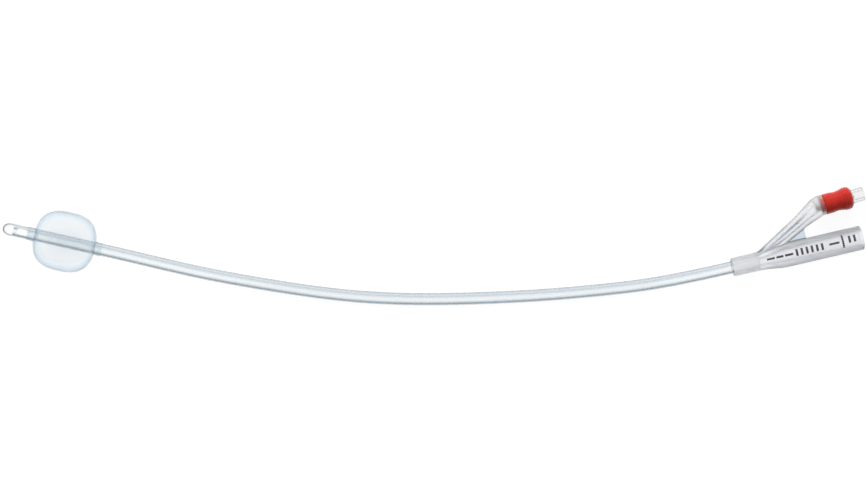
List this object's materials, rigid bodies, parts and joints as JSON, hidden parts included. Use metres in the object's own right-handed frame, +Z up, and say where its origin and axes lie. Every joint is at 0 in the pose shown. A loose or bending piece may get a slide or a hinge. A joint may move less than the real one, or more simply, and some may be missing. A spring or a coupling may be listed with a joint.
{
  "type": "foley urinary catheter",
  "caption": "Urinary balloon catheter: clear flexible tube with rounded tip, drainage eyes, inflated balloon, branching funnel and spring check valve.",
  "frame": {"origin": "on the floor under the middle of the bounding box", "axes": "+X along the drainage funnel, out of its mouth; +Y towards the inflation arm's side; +Z up from the table it lies on"},
  "size_m": [0.4066, 0.1056, 0.0293],
  "materials": {
    "clear_silicone": "clear extruded silicone, slightly blue",
    "tip_silicone": "water-clear moulded silicone",
    "balloon_silicone": "thin clear silicone, stretched and glossy",
    "funnel_silicone": "milky moulded silicone",
    "red_plastic": "glossy moulded plastic",
    "white_plastic": "satin moulded plastic",
    "clear_plastic": "clear moulded plastic",
    "seal_rubber": "soft matt rubber",
    "spring_steel": "drawn wire"
  },
  "bodies": {
    "catheter": {"shaft": "clear_silicone", "tip": "tip_silicone", "balloon": "balloon_silicone", "y_funnel": "funnel_silicone", "valve_sleeve": "red_plastic", "valve_base": "white_plastic", "valve_port": "clear_plastic", "valve_spring": "spring_steel"},
    "plunger": {"valve_plunger": "white_plastic", "valve_seal": "seal_rubber"}
  },
  "joints": [
    {"name": "valve_press", "type": "slide", "parent": "catheter", "child": "plunger", "axis": [-0.999, -0.0436, 0], "range_m": [0, 0.0015], "stiffness_N_per_m": 300, "deforming": ["valve_spring"]}
  ]
}
